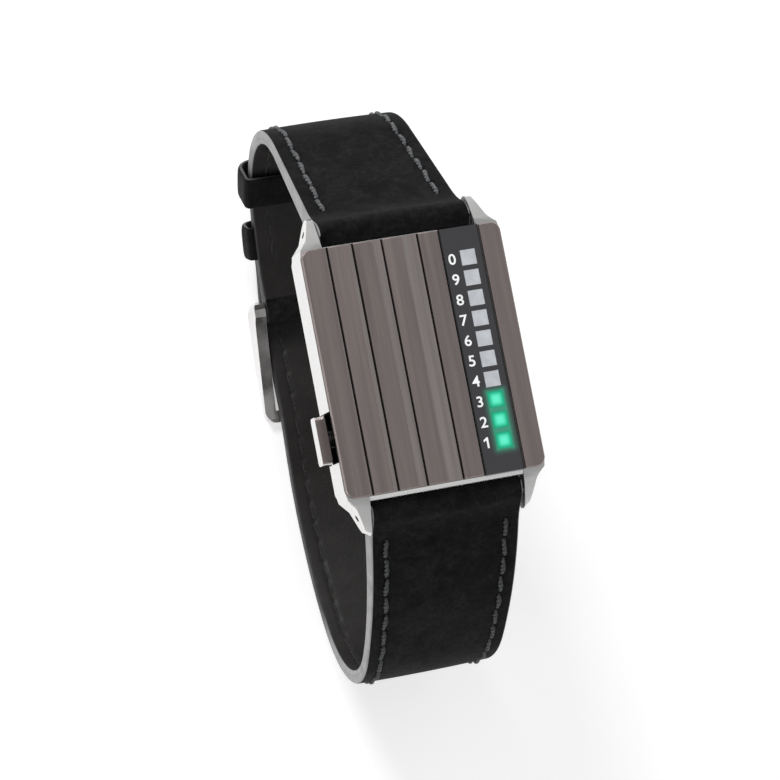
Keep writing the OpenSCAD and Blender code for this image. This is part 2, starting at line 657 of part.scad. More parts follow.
// Round both straps, with its inner side sewn in between leather and lining
module keeper_band(grow) {
    mid = place(short_route, fixed_s);
    c = outside(mid, -back_r, 1);
    a = mid[2] + 90;
    span = (keeper_w/2 + grow)/back_r*180/PI;
    w = width_at(fixed_s, short_len)/2 + lay;
    r0 = back_r - short_t/2 + lining_t - 0.05;
    r1 = back_r + tail_d + long_t/2 + loose;
    difference() {
        bent(c, r0 - keeper_t/3 - grow, r1 + keeper_t, w + keeper_t, a - span, a + span);
        bent(c, r0 + grow, r1, w, a - span - 1, a + span + 1);
    }
}
module fixed_keeper() color([0.12, 0.12, 0.13]) keeper_band(0);

module buckle_side() polygon([
    [1.2, 1.1], [1.65, 0], [1.6, -2.6], [0.8, -3.5], [-5.5, -4.7], [-8.5, -buckle_drop],
    [-buckle_len + 0.5, -buckle_drop], [-buckle_len, -buckle_drop + 0.5],
    [-buckle_len, -buckle_drop + far_bar_t - 0.5], [-buckle_len + 0.5, -buckle_drop + far_bar_t],
    [-buckle_len + 1.9, -buckle_drop + far_bar_t], [-11, -2.7], [-5.5, -0.8], [-1.6, 0.6], [-0.8, 1.4], [0.4, 1.6]]);

module buckle_frame() color([0.84, 0.84, 0.85]) translate([0, buckle[0], buckle[1]]) difference() {
    intersection() {
        centred_x(2*buckle_out) buckle_side();
        translate([0, 2 - (buckle_len + 2)/2, -10]) linear_extrude(20) rounded(2*buckle_out, buckle_len + 2, 1.8);
    }
    block(-buckle_in, buckle_in, -buckle_len + 1.8, 10, -10, 10);
    block(-tang_w/2 - 0.25, tang_w/2 + 0.25, -buckle_len - 1, -buckle_len + 3, -buckle_drop - 1, -buckle_drop + notch_t);
    rod(pin_r + run, -buckle_in - pin_reach - 0.2, buckle_in + pin_reach + 0.2);
}

module buckle_tang() color([0.84, 0.84, 0.85]) translate([0, buckle[0], buckle[1]]) difference() {
    outer = -buckle_drop + 0.3;
    inner = -3.85 - lay - 0.3;
    centred_x(tang_w) union() {
        circle(tang_ring);
        polygon([[-1.1, -0.75], [-3.9, -3.35], [-5.2, inner], [-buckle_len + 2.5, inner - 0.1],
            [-buckle_len + 1.9, -buckle_drop + notch_t - 0.08], [-buckle_len - 0.3, -buckle_drop + notch_t - 0.08],
            [-buckle_len - 0.5, -buckle_drop + 0.15], [-buckle_len - 0.2, -buckle_drop + 0.05],
            [-buckle_len + 3, -buckle_drop + 0.05], [-4.8, outer], [-3.2, -4.3], [-0.6, -1.2]]);
    }
    rod(bar_r + run, -5, 5);
}

case_frame();
ribbed_cover();
side_cover();
display_strip();
unlit_lenses();
lit_lenses();
light_mask();
circuit_board();
led_chips();
driver_chip();
quartz_crystal();
chip_capacitors();
tactile_switch();
switch_plunger();
module_holder();
battery_cell();
battery_contact();
back_gasket();
case_back();
back_screws();
pusher_tube();
pusher_button();
pusher_spring();
pusher_seal();
pusher_clip();
bar_tube(upper, lug_gap/2);  // upper_bar_tube
bar_tip(upper, lug_gap/2, -1);  // upper_bar_left_tip
bar_tip(upper, lug_gap/2, 1);  // upper_bar_right_tip
bar_spring(upper, lug_gap/2);  // upper_bar_spring
bar_tube(lower, lug_gap/2);  // lower_bar_tube
bar_tip(lower, lug_gap/2, -1);  // lower_bar_left_tip
bar_tip(lower, lug_gap/2, 1);  // lower_bar_right_tip
bar_spring(lower, lug_gap/2);  // lower_bar_spring
bar_tube(buckle, buckle_in);  // buckle_bar_tube
bar_tip(buckle, buckle_in, -1);  // buckle_bar_left_tip
bar_tip(buckle, buckle_in, 1);  // buckle_bar_right_tip
bar_spring(buckle, buckle_in);  // buckle_bar_spring
short_strap_leather();
short_strap_lining();
long_strap_leather();
long_strap_lining();
fixed_keeper();
free_keeper();
buckle_frame();
buckle_tang();
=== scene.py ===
import json
import math

import bmesh
import bpy
from mathutils import Matrix, Vector


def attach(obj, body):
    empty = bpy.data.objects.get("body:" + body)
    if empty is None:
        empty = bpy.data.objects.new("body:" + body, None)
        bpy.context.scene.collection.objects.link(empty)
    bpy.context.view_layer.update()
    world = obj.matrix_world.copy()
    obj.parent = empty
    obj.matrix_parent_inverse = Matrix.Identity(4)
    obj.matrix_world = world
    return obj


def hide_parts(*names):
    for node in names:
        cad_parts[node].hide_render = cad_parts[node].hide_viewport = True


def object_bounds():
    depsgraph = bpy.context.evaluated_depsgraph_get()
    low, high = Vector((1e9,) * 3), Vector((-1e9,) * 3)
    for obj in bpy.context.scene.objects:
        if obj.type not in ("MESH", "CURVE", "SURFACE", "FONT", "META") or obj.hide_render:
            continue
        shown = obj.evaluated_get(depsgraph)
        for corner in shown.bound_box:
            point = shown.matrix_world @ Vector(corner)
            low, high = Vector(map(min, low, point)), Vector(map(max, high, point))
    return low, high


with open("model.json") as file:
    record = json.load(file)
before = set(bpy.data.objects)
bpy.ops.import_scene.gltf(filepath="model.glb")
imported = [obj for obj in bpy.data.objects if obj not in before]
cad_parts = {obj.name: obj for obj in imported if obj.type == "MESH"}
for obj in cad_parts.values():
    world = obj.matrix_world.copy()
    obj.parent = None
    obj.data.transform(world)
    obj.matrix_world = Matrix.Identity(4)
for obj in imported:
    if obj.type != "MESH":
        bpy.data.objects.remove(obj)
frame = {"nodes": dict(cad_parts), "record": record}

cad_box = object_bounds()
MM = 0.001


# Camera, at the photograph's viewing angle

camera = bpy.data.cameras.new("camera")
camera.sensor_width = 36
camera.lens = 136.02
camera.clip_start = 0.02
camera.clip_end = 20
eye = bpy.data.objects.new("camera", camera)
eye.matrix_world = Matrix((
    (0.950552, 0.160477, -0.265891, -0.111198),
    (-0.188413, 0.978580, -0.082952, -0.036421),
    (0.246884, 0.128947, 0.960428, 0.390133),
    (0, 0, 0, 1)))
bpy.context.scene.collection.objects.link(eye)
bpy.context.scene.camera = eye
bpy.context.scene.view_settings.view_transform = "Standard"


# The strap's path, in millimetres, from the sizes of the solids. The leather is a little
# thinner than they are, and the bend under the lower lugs lies up to 1.5 mm further out.
# A point is (y, z, heading in degrees, distance travelled).

CASE_LEN, BAR_Y, BAR_Z = 34.3, 19.6, 4.9  # case without its lugs, and the lugs' bars
ROOT_T, SHORT_T, LONG_T, TAIL_T, LINING_T = 3.5, 2.2, 2.2, 1.5, 0.9  # thicknesses
ROOT_W, TIP_W, LONG_TAPER = 21.6, 18.2, 78  # widths, and how far along the long half narrows
ROOT_END, ROOT_PAD, PAD_LEN = 2.3, 0.6, 2.8  # folded end past the bar, and its padding to the case
FRONT_RUN, CREST_R, BACK_R = 16.9, 14.5, 43.8  # short half: straight run, then two bends
FRONT_R, BOTTOM_R, RISE_R = 55.4, 16, 50  # long half: three bends
DIP = 5  # first stretch at each lug
EYE_R, EYE_FADE, FOLD = 1.75, 5, 2  # eye round the buckle's bar, and the leather folded over a bar
LAY, LOOSE = 0.1, 0.35  # gaps between layers, and inside a keeper
KEEPER_W, KEEPER_T, KEEPER_BEND, KEEPER_BULGE = 5, 1, 2.6, 0.4
FREE_AT, FIXED_AT = 19.6, 10.6  # keepers, back from the buckle's bar
BUCKLE_LEN, FAR_IN, FAR_DROP = 16.4, 0.9, 3.85  # where the long half comes into the buckle
JOIN, POINT_LEN, POINT_ROUND = 7, 9, 0.97  # run onto the short half, and the rounded point
TAIL_TURN = 44  # how far the long half goes round the short half's bend
HOLE_BACK, HOLE_PITCH, HOLE_R, BORE_R = 3.2, 6.5, 0.9, 0.85  # adjustment holes, bars' bores
STEP = 0.3  # between points of a route


def along(p, length, turn, f):
    """The point after share f of a bend of this length and turn."""
    a, d = math.radians(turn*f), length*f
    chord = d if abs(a) < 1e-5 else d*math.sin(a/2)/(a/2)
    h = math.radians(p[2]) + a/2
    return (p[0] + chord*math.cos(h), p[1] + chord*math.sin(h), p[2] + turn*f, p[3] + d)


def arc(r, turn):
    """Length of a bend with radius r."""
    return r*abs(math.radians(turn))


def route(p, bends):
    """The points from p along bends, each a length and a turn."""
    out = []
    for length, turn in bends:
        n = max(2, round(length/STEP))
        out += [along(p, length, turn, k/n) for k in range(n)]
        p = along(p, length, turn, 1)
    return out + [p]


def stretch(a, b):
    """A smooth run from a to b, without b itself."""
    span = math.dist(a[:2], b[:2])
    ta = (span*math.cos(math.radians(a[2])), span*math.sin(math.radians(a[2])))
    tb = (span*math.cos(math.radians(b[2])), span*math.sin(math.radians(b[2])))
    n, out = max(3, round(span/STEP)), []
    for k in range(n):
        f = k/n
        c = (2*f**3 - 3*f*f + 1, f**3 - 2*f*f + f, 3*f*f - 2*f**3, f**3 - f*f)
        g = (6*f*f - 6*f, 3*f*f - 4*f + 1, 6*f - 6*f*f, 3*f*f - 2*f)
        p = [c[0]*a[i] + c[1]*ta[i] + c[2]*b[i] + c[3]*tb[i] for i in (0, 1)]
        d = [g[0]*a[i] + g[1]*ta[i] + g[2]*b[i] + g[3]*tb[i] for i in (0, 1)]
        out.append((p[0], p[1], math.degrees(math.atan2(d[1], d[0])), a[3] + span*f))
    return out


def outside(p, n, side):
    """The place at distance n from the route, on hand 1 or -1."""
    h = math.radians(p[2])
    return (p[0] - side*n*math.sin(h), p[1] + side*n*math.cos(h))


def place(r, s):
    """The point of route r at distance s."""
    k = max([0] + [i for i in range(len(r) - 1) if r[i][3] <= s])
    a, b = r[k], r[k + 1]
    f = (s - a[3])/(b[3] - a[3])
    turn = (b[2] - a[2] + 180) % 360 - 180
    return (a[0] + f*(b[0] - a[0]), a[1] + f*(b[1] - a[1]), a[2] + f*turn, s)


short_route = route((BAR_Y, BAR_Z, -70, 0), [
    (DIP, 25), (FRONT_RUN, 0), (arc(CREST_R, 105), -105), (arc(BACK_R, 22), -22)])
short_end = short_route[-1]
short_len = short_end[3]
buckle = short_end[:2]
crest_s = DIP + FRONT_RUN + arc(CREST_R, 105)
crest_heading = -70 + 25 - 105
crest_c = outside(place(short_route, crest_s), -CREST_R, 1)

long_front = route((BAR_Y, BAR_Z, -56.5, 0), [
    (DIP, 22), (arc(FRONT_R, 22.6), -22.6), (arc(BOTTOM_R, 93.5), -93.5),
    (arc(RISE_R, 26), -26)])
long_a = [(-p[0], p[1], 180 - p[2], p[3]) for p in long_front]
far_y = buckle[0] - BUCKLE_LEN + FAR_IN
far_point = (far_y, buckle[1] - FAR_DROP + LAY + LONG_T/2, 1,
             long_a[-1][3] + far_y - long_a[-1][0])
over_xy = outside(short_end, EYE_R + LAY + LONG_T/2, 1)
over_point = (*over_xy, short_end[2] + 180, far_point[3] + over_xy[0] - far_y)
join_on = place(short_route, short_len - JOIN)
tail_d = SHORT_T/2 + LAY + TAIL_T/2
join_point = (*outside(join_on, tail_d, 1), join_on[2] + 180, over_point[3] + JOIN)
join_turn = join_on[2] - crest_heading
tail = route(join_point, [
    (arc(BACK_R + tail_d, join_turn), abs(join_turn)),
    (arc(CREST_R + tail_d, TAIL_TURN), TAIL_TURN)])
long_route = (long_a[:-1] + stretch(long_a[-1], far_point)
              + stretch(far_point, over_point) + stretch(over_point, join_point) + tail)
hole_s = over_point[3] - HOLE_BACK


def fade(s, length):
    """1 at s = 0, falling to 0 at length."""
    return max(0.0, 1 - s/length)


class Strap:
    """One half of the strap: its route, the hand of its outer side, and its sizes on the way."""

    def __init__(self, r, side, short):
        self.route, self.side, self.short, self.whole = r, side, short, r[-1][3]

    def width(self, s):
        """Half the width at s."""
        f = min(1, max(0, s)/(self.whole if self.short else LONG_TAPER))
        w = (ROOT_W + (TIP_W - ROOT_W)*f)/2
        if self.short:
            return w
        return w*math.sqrt(1 - (POINT_ROUND*fade(self.whole - s, POINT_LEN))**2)

    def half(self, s):
        """Half the thickness at s."""
        if s < 0:
            return ROOT_T/2*math.sqrt(max(0.0001, 1 - (s/ROOT_END)**2))
        back = self.whole - s
        if self.short and back < 0:
            return math.sqrt(max(0.0004, EYE_R**2 - back*back))
        t = SHORT_T
        if not self.short:
            t = LONG_T + (TAIL_T - LONG_T)*min(1, max(0, (s - over_point[3])/JOIN))
        h = t/2 + (ROOT_T - t)/2*fade(s, DIP + FRONT_RUN)
        return max(h, t/2 + (EYE_R - t/2)*fade(back, EYE_FADE)) if self.short else h

    def low(self, s):
        """The same on the wrist's side, where the short half is padded out to the case."""
        pad = (ROOT_PAD if self.short else 0)*max(0, 1 - (s/PAD_LEN)**2)
        return self.half(s) + pad*(self.half(s)/(ROOT_T/2) if s < 0 else 1)

    def at(self, s, n):
        """The (y, z) at distance s along and n outward from the middle."""
        if s < 0:
            p = along(self.route[0], s, 0, 1)
        elif s > self.whole:
            p = along(self.route[-1], s - self.whole, 0, 1)
        else:
            p = place(self.route, s)
        return outside(p, n, self.side)


short_strap = Strap(short_route, 1, True)
long_strap = Strap(long_route, -1, False)


# Small helpers

def add(name, mesh, paints, body, replaces=()):
    """A visible piece on its body."""
    o = bpy.data.objects.new(name, mesh)
    bpy.context.scene.collection.objects.link(o)
    for p in paints:
        mesh.materials.append(p.m)
    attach(o, body)
    if replaces:
        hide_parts(*replaces)
    return o


def mesh_of(name, verts, faces, mats=None):
    """A smooth mesh from points in millimetres."""
    m = bpy.data.meshes.new(name)
    m.from_pydata([[c*MM for c in v] for v in verts], [], faces)
    if mats:
        m.polygons.foreach_set("material_index", mats)
    m.polygons.foreach_set("use_smooth", [True]*len(m.polygons))
    b = bmesh.new()
    b.from_mesh(m)
    bmesh.ops.recalc_face_normals(b, faces=b.faces)
    b.to_mesh(m)
    b.free()
    return m


def ring_faces(n_rings, n, start=0, closed=False):
    """Faces between rings of n points, with ends unless the rings close on themselves."""
    faces = []
    for i in range(n_rings - (0 if closed else 1)):
        a, b = start + i*n, start + (i + 1) % n_rings*n
        faces += [(a + j, b + j, b + (j + 1) % n, a + (j + 1) % n) for j in range(n)]
    if not closed:
        faces.append(tuple(start + j for j in range(n)))
        faces.append(tuple(start + (n_rings - 1)*n + j for j in reversed(range(n))))
    return faces


def applied(o):
    """Bakes an object's modifiers into its mesh."""
    graph = bpy.context.evaluated_depsgraph_get()
    mesh = bpy.data.meshes.new_from_object(o.evaluated_get(graph))
    o.modifiers.clear()
    o.data = mesh
    return mesh


# Materials

class Paint:
    """A node material. Plain numbers sit on the shader's own sockets, patterns are linked in."""

    def __init__(self, name, colour, rough, metal=0.0, **more):
        self.m = bpy.data.materials.new(name)
        self.m.use_nodes = True
        self.n, self.l = self.m.node_tree.nodes, self.m.node_tree.links
        self.s = self.n["Principled BSDF"]
        self.s.inputs["Base Color"].default_value = (*colour, 1)
        self.s.inputs["Roughness"].default_value = rough
        self.s.inputs["Metallic"].default_value = metal
        for k, v in more.items():
            self.s.inputs[k.replace("_", " ")].default_value = v
        self.m.diffuse_color = (*colour, 1)
        self.co = self.n.new("ShaderNodeTexCoord").outputs["Object"]

    def node(self, kind, **values):
        x = self.n.new(kind)
        for k, v in values.items():
            if hasattr(x, k):
                setattr(x, k, v)
            else:
                x.inputs[k.replace("_", " ")].default_value = v
        return x

    def link(self, a, b):
        self.l.new(a, b)

    def noise(self, scale, detail=4, rough=0.5, axes=(1, 1, 1), distortion=0):
        """Noise with about scale features a millimetre, fewer along an axis below 1."""
        m = self.node("ShaderNodeMapping")
        m.inputs["Scale"].default_value = [c/MM for c in axes]
        self.link(self.co, m.inputs["Vector"])
        x = self.node("ShaderNodeTexNoise", Scale=scale, Detail=detail, Roughness=rough,
                      Distortion=distortion)
        self.link(m.outputs[0], x.inputs["Vector"])
        return x.outputs["Fac"]

    def ramp(self, source, *stops):
        x = self.node("ShaderNodeValToRGB")
        e = x.color_ramp.elements
        while len(e) < len(stops):
            e.new(0.5)
        for k, (at, c) in enumerate(stops):
            e[k].position = at
            e[k].color = (*c, 1) if hasattr(c, "__len__") else (c, c, c, 1)
        self.link(source, x.inputs["Fac"])
        return x.outputs["Color"]

    def math(self, op, a, b=None, c=None):
        x = self.node("ShaderNodeMath", operation=op)
        for i, v in enumerate((a, b, c)):
            if isinstance(v, (int, float)):
                x.inputs[i].default_value = v
            elif v is not None:
                self.link(v, x.inputs[i])
        return x.outputs[0]

    def mix(self, factor, a, b, blend="MIX"):
        x = self.node("ShaderNodeMix", data_type="RGBA", blend_type=blend)
        for sock, v in ((x.inputs[0], factor), (x.inputs[6], a), (x.inputs[7], b)):
            if isinstance(v, (int, float)):
                sock.default_value = v
            elif hasattr(v, "__len__"):
                sock.default_value = (*v, 1)
            else:
                self.link(v, sock)
        return x.outputs[2]

    def colour(self, source):
        self.link(source, self.s.inputs["Base Color"])

    def rough(self, source, low, high):
        self.link(self.ramp(source, (0.3, low), (0.7, high)), self.s.inputs["Roughness"])

    def glow(self, source):
        self.link(source, self.s.inputs["Emission Color"])
        self.s.inputs["Emission Strength"].default_value = 1

    def bump(self, height, distance, strength=1.0, after=None):
        x = self.node("ShaderNodeBump", Strength=strength, Distance=distance*MM)
        self.link(height, x.inputs["Height"])
        if after:
            self.link(after, x.inputs["Normal"])
        self.link(x.outputs[0], self.s.inputs["Normal"])
        return x.outputs[0]

    def place(self):
        x = self.node("ShaderNodeSeparateXYZ")
        self.link(self.co, x.inputs[0])
        return x.outputs


def suede(name, base, light, soft):
    p = Paint(name, base, 0.9, Sheen_Weight=soft, Sheen_Roughness=0.5, Specular_IOR_Level=0.12)
    p.s.inputs["Sheen Tint"].default_value = (0.8, 0.8, 0.82, 1)
    smudge = p.noise(0.22, 8, 0.72, distortion=1.2)
    nap = p.noise(1.5, 6, 0.75)
    fibre = p.noise(8, 3, 0.6)
    half = [0.5*(a + b) for a, b in zip(base, light)]
    tone = p.ramp(smudge, (0.38, base), (0.52, half), (0.66, light))
    p.colour(p.mix(1.0, tone, p.ramp(nap, (0.36, 0.45), (0.70, 1.7)), "MULTIPLY"))
    p.bump(fibre, 0.05, 0.5, p.bump(nap, 0.09, 0.5))
    return p


def smooth_leather(name, base, light):
    p = Paint(name, base, 0.55, Specular_IOR_Level=0.35)
    cells = p.node("ShaderNodeTexVoronoi", Scale=2200, feature="DISTANCE_TO_EDGE")
    p.link(p.co, cells.inputs["Vector"])
    p.colour(p.ramp(p.noise(0.25, 5), (0.35, base), (0.7, light)))
    p.rough(p.noise(0.6), 0.45, 0.65)
    first = p.bump(p.ramp(cells.outputs["Distance"], (0, 0), (0.12, 1)), 0.03, 0.45)
    p.bump(p.noise(1.1, 5), 0.06, 0.3, first)
    return p


def metal(name, colour, low, high, brushed=None, depth=0.004):
    """Metal with roughness from low to high, brushed along the axis whose value is small."""
    p = Paint(name, colour, (low + high)/2, 1.0)
    if brushed:
        grain = p.noise(1.1, 6, 0.68, brushed)
        dark, light = [c*0.84 for c in colour], [min(1, c*1.14) for c in colour]
        p.colour(p.ramp(grain, (0.25, dark), (0.75, light)))
        p.rough(grain, low, high)
        p.bump(p.noise(4.0, 4, 0.6, brushed), depth, 0.5)
    else:
        p.rough(p.noise(0.35, 5), low, high)
        p.bump(p.noise(9, 3, 0.6, (1, 0.15, 1)), depth, 0.35)
    return p


def plastic(name, colour, rough, grain=6.0, depth=0.008, **more):
    p = Paint(name, colour, rough, **more)
    dark, light = [c*0.9 for c in colour], [min(1, c*1.1) for c in colour]
    p.colour(p.ramp(p.noise(0.8), (0.3, dark), (0.7, light)))
    p.rough(p.noise(0.5), rough*0.92, rough*1.08)
    p.bump(p.noise(grain), depth, 0.5)
    return p


polished = metal("polished_steel", (0.70, 0.69, 0.685), 0.16, 0.28)
plated = metal("plated_steel", (0.315, 0.268, 0.257), 0.36, 0.50, (1, 0.02, 1), 0.012)
# painted shade: near-black steel for the pusher's notch, the bars' holes and the cover's slots
recess_shade = metal("recess_painted_shade", (0.018, 0.016, 0.016), 0.5, 0.6)
# painted highlight: a bright copy of the plating, for the cover's bevels that face +x
edge_highlight_steel = metal("plated_edge_highlight", (0.92, 0.90, 0.89), 0.35, 0.5)
band_steel = metal("plated_band", (0.375, 0.335, 0.325), 0.40, 0.54, (1, 0.02, 1), 0.012)
# painted reflection: a matt white that is no metal, on the case's ends, for their bright reflection
end_reflection_white = metal("end_painted_reflection", (0.92, 0.92, 0.91), 0.5, 0.6)
end_reflection_white.s.inputs["Metallic"].default_value = 0
satin = metal("satin_steel", (0.60, 0.59, 0.58), 0.25, 0.38, (0.03, 1, 1), 0.008)
bright = metal("bright_steel", (0.72, 0.72, 0.71), 0.15, 0.28, (0.05, 1, 1))
wire = metal("spring_wire", (0.55, 0.55, 0.56), 0.2, 0.35)
brass = metal("plated_brass", (0.78, 0.58, 0.27), 0.2, 0.34)
cell_metal = metal("cell_steel", (0.66, 0.66, 0.65), 0.28, 0.4, (1, 0.1, 1))
rubber = plastic("seal_rubber", (0.02, 0.02, 0.02), 0.7)
holder = plastic("holder_plastic", (0.16, 0.16, 0.17), 0.5)
mask = plastic("mask_plastic", (0.015, 0.015, 0.015), 0.8)
chip = plastic("chip_epoxy", (0.02, 0.02, 0.022), 0.45)
lamp = plastic("lamp_ceramic", (0.8, 0.8, 0.72), 0.4)
ceramic = plastic("fired_ceramic", (0.42, 0.3, 0.18), 0.5)
plunger_red = plastic("plunger_plastic", (0.5, 0.08, 0.04), 0.45)
board = plastic("solder_resist", (0.015, 0.13, 0.06), 0.35)
glowing_print = plastic("digit_print", (0.90, 0.91, 0.91), 0.5, depth=0.003)
# the print also glows a little: painted light that keeps the digits bright
glowing_print.s.inputs["Emission Color"].default_value = (1, 1, 1, 1)
glowing_print.s.inputs["Emission Strength"].default_value = 0.18
suede_black = suede("black_suede", (0.0020, 0.0020, 0.0023), (0.0120, 0.0120, 0.0124), 0.035)
suede_keeper = suede("keeper_suede", (0.0032, 0.0031, 0.0032), (0.0080, 0.0079, 0.0082), 0.05)
lining_leather = smooth_leather("lining_leather",
                                (0.0078, 0.0064, 0.0060), (0.0135, 0.0115, 0.0108))

# The edges are light grey with a worn tone in front, and painted shade makes them dark behind the
# wrist
edge_paint = Paint("strap_edge", (0.27, 0.27, 0.27), 0.5, Specular_IOR_Level=0.3)
_, y, z = edge_paint.place()
# painted shade: the edges darken below about z = -34 mm, except round the bend at 6 o'clock
deep = edge_paint.ramp(edge_paint.math("MULTIPLY", z, -20.0), (0.5, 0), (0.68, 1))
back = edge_paint.ramp(edge_paint.math("MULTIPLY_ADD", y, 20.0, 0.9), (0.18, 0), (0.3, 1))
painted_shade_behind = edge_paint.math("MULTIPLY", deep, back)
tone_shift = edge_paint.ramp(edge_paint.noise(0.45, 5, 0.6), (0.3, 0.22), (0.7, 0.32))
edge_paint.colour(edge_paint.mix(painted_shade_behind, tone_shift, (0.022, 0.021, 0.021)))
edge_paint.rough(edge_paint.noise(0.8), 0.42, 0.6)
edge_paint.bump(edge_paint.noise(1.6, 5), 0.05, 0.35)

# The thread is light at 12 o'clock and darker at 6
thread = Paint("waxed_thread", (0.10, 0.105, 0.11), 0.6, Sheen_Weight=0.2)
_, y, _ = thread.place()
grey = thread.ramp(thread.noise(2.2, 5, 0.65),
                   (0.32, (0.035, 0.038, 0.040)), (0.68, (0.17, 0.178, 0.185)))
# a blend set by position along the strap, darker towards 6 o'clock
tone_shift = thread.ramp(thread.math("MULTIPLY_ADD", y, 20.0, 0.5), (0.3, 0.72), (0.7, 0))
thread.colour(thread.mix(tone_shift, grey, (0.016, 0.017, 0.018)))
thread.bump(thread.noise(14, 3), 0.05, 0.8)
dark_thread = Paint("dark_thread", (0.012, 0.011, 0.011), 0.7)
dark_thread.colour(dark_thread.ramp(dark_thread.noise(3, 3),
                                    (0.3, 0.008), (0.7, (0.03, 0.028, 0.027))))
dark_thread.bump(dark_thread.noise(14, 3), 0.03, 0.6)


# Windows and display strip

LED_X, LED_SIDE, LED_MARGIN, COUNT, LIT = 8.95, 2.2, 4.4, 10, 3
STRIP_TOP, STRIP_X, STRIP_W, STRIP_SHADE_W = 8.5, 5.4, 5.65, 0.24
DIGIT_X, DIGIT_H, DIGIT_BOLD, DIGIT_WIDE, INK = 6.58, 1.5, 0.014, 1.06, 0.008
GLOW = 1.0  # how far the light spreads in the strip
PITCH = (CASE_LEN - 2*LED_MARGIN)/(COUNT - 1)


def led_y(i):
    """Middle of window i, counted from the top."""
    return ((COUNT - 1)/2 - i)*PITCH


def beyond(p, c, middle, half):
    """How far coordinate c lies past half from the middle, in metres."""
    away = p.math("ABSOLUTE", p.math("SUBTRACT", c, middle*MM))
    return p.math("MAXIMUM", p.math("SUBTRACT", away, half*MM), 0.0)


def length_of(p, a, b):
    return p.math("SQRT", p.math("ADD", p.math("MULTIPLY", a, a), p.math("MULTIPLY", b, b)))


strip_paint = plastic("display_plastic", (0.036, 0.036, 0.041), 0.42, 3.0, 0.005)
x, y, _ = strip_paint.place()
low, high = led_y(COUNT - 1) - LED_SIDE/2, led_y(COUNT - LIT) + LED_SIDE/2
reach = length_of(strip_paint, beyond(strip_paint, x, LED_X, LED_SIDE/2),
                  beyond(strip_paint, y, (low + high)/2, (high - low)/2))
# painted shade: a dark line along each long edge of the strip, for the groove against the covers
border = beyond(strip_paint, x, STRIP_X + STRIP_W/2, STRIP_W/2 - STRIP_SHADE_W)
groove_shade = strip_paint.ramp(strip_paint.math("MULTIPLY", border, 4/MM), (0.2, 1), (0.5, 0.04))
strip_paint.colour(strip_paint.mix(1.0, groove_shade, (0.044, 0.044, 0.049), "MULTIPLY"))
strip_paint.glow(strip_paint.ramp(
    strip_paint.math("MULTIPLY", reach, 1/(GLOW*MM)),
    (0.0, (0.004, 0.26, 0.14)), (0.3, (0.002, 0.10, 0.055)),
    (0.65, (0.0, 0.022, 0.012)), (1.0, (0, 0, 0))))

unlit_paint = plastic("unlit_window", (0.60, 0.62, 0.65), 0.45, Specular_IOR_Level=0.3)

lit_paint = Paint("lit_window", (0.01, 0.10, 0.06), 0.5, Specular_IOR_Level=0.2)
x, y, _ = lit_paint.place()
above = lit_paint.math("SUBTRACT", y, led_y(COUNT - 1)*MM)
row = lit_paint.math("ADD", lit_paint.math("DIVIDE", above, PITCH*MM), 0.5)
off = lit_paint.math("ABSOLUTE", lit_paint.math("SUBTRACT", lit_paint.math("FRACT", row), 0.5))
u = lit_paint.math("MULTIPLY", beyond(lit_paint, x, LED_X, 0), 2/(LED_SIDE*MM))
v = lit_paint.math("MULTIPLY", off, 2*PITCH/LED_SIDE)
corner = lit_paint.math("ADD", lit_paint.math("POWER", u, 4.0), lit_paint.math("POWER", v, 4.0))
lit_paint.glow(lit_paint.ramp(
    lit_paint.math("POWER", corner, 0.25),
    (0.3, (0.12, 0.82, 0.55)), (0.55, (0.07, 0.66, 0.42)),
    (0.8, (0.014, 0.42, 0.235)), (1.0, (0.006, 0.27, 0.14))))

# Printed digits: flat faces just above the strip
for k in range(COUNT):
    digit = str((COUNT - k) % COUNT)
    text = bpy.data.curves.new("digit_" + digit, "FONT")
    text.body = digit
    text.size = 1
    text.offset = DIGIT_BOLD
    o = bpy.data.objects.new("digit_" + digit, text)
    bpy.context.scene.collection.objects.link(o)
    bpy.context.view_layer.update()
    graph = bpy.context.evaluated_depsgraph_get()
    flat = bpy.data.meshes.new_from_object(o.evaluated_get(graph))
    bpy.data.objects.remove(o)
    xs, ys = [p.co.x for p in flat.vertices], [p.co.y for p in flat.vertices]
    s = DIGIT_H*MM/(max(ys) - min(ys))
    centred = Matrix.Translation((-(max(xs) + min(xs))/2, -(max(ys) + min(ys))/2, 0))
    spot = Matrix.Translation((DIGIT_X*MM, led_y(k)*MM, (STRIP_TOP + INK)*MM))
    if digit == "1":  # the font's 1 is a plain bar, so it gets a flag
        flag = bmesh.new()
        flag.from_mesh(flat)
        left, top = min(xs) + 0.04, max(ys)
        corners = ((left, top), (left - 0.22, top - 0.16),
                   (left - 0.22, top - 0.28), (left, top - 0.17))
        flag.faces.new([flag.verts.new((*c, 0)) for c in corners]).normal_update()
        flag.to_mesh(flat)
        flag.free()
    flat.transform(spot @ Matrix.Diagonal((DIGIT_WIDE*s, s, s, 1)) @ centred)
    add("digit_" + digit, flat, [glowing_print], "watch")


# Rigid pieces: the solids with their sharp edges broken

LUG_X, LUG_SLIM = 11, 0.80  # inner faces of the lugs, and the share kept of their width
END_OUT, END_EDGE = 0.5, 7.5  # the end at 6 o'clock, brought out below this height
NOTCH_X, NOTCH_Y, FRAME_TOP = (-14.28, -13.0), (-12.1, -4.7), 7.99
BAR_HOLE_R = 0.62
COVER_X, COVER_Y, SLOT_Z, BAND_Z = 13.8, 17.2, 8.32, 8.4  # slots and bands lie below these
HEAD_X, HEAD_FACE_X, HEAD_Y, HEAD_LONG, HEAD_OUT = -14.0, -15.2, -8.4, 1.07, 0.3

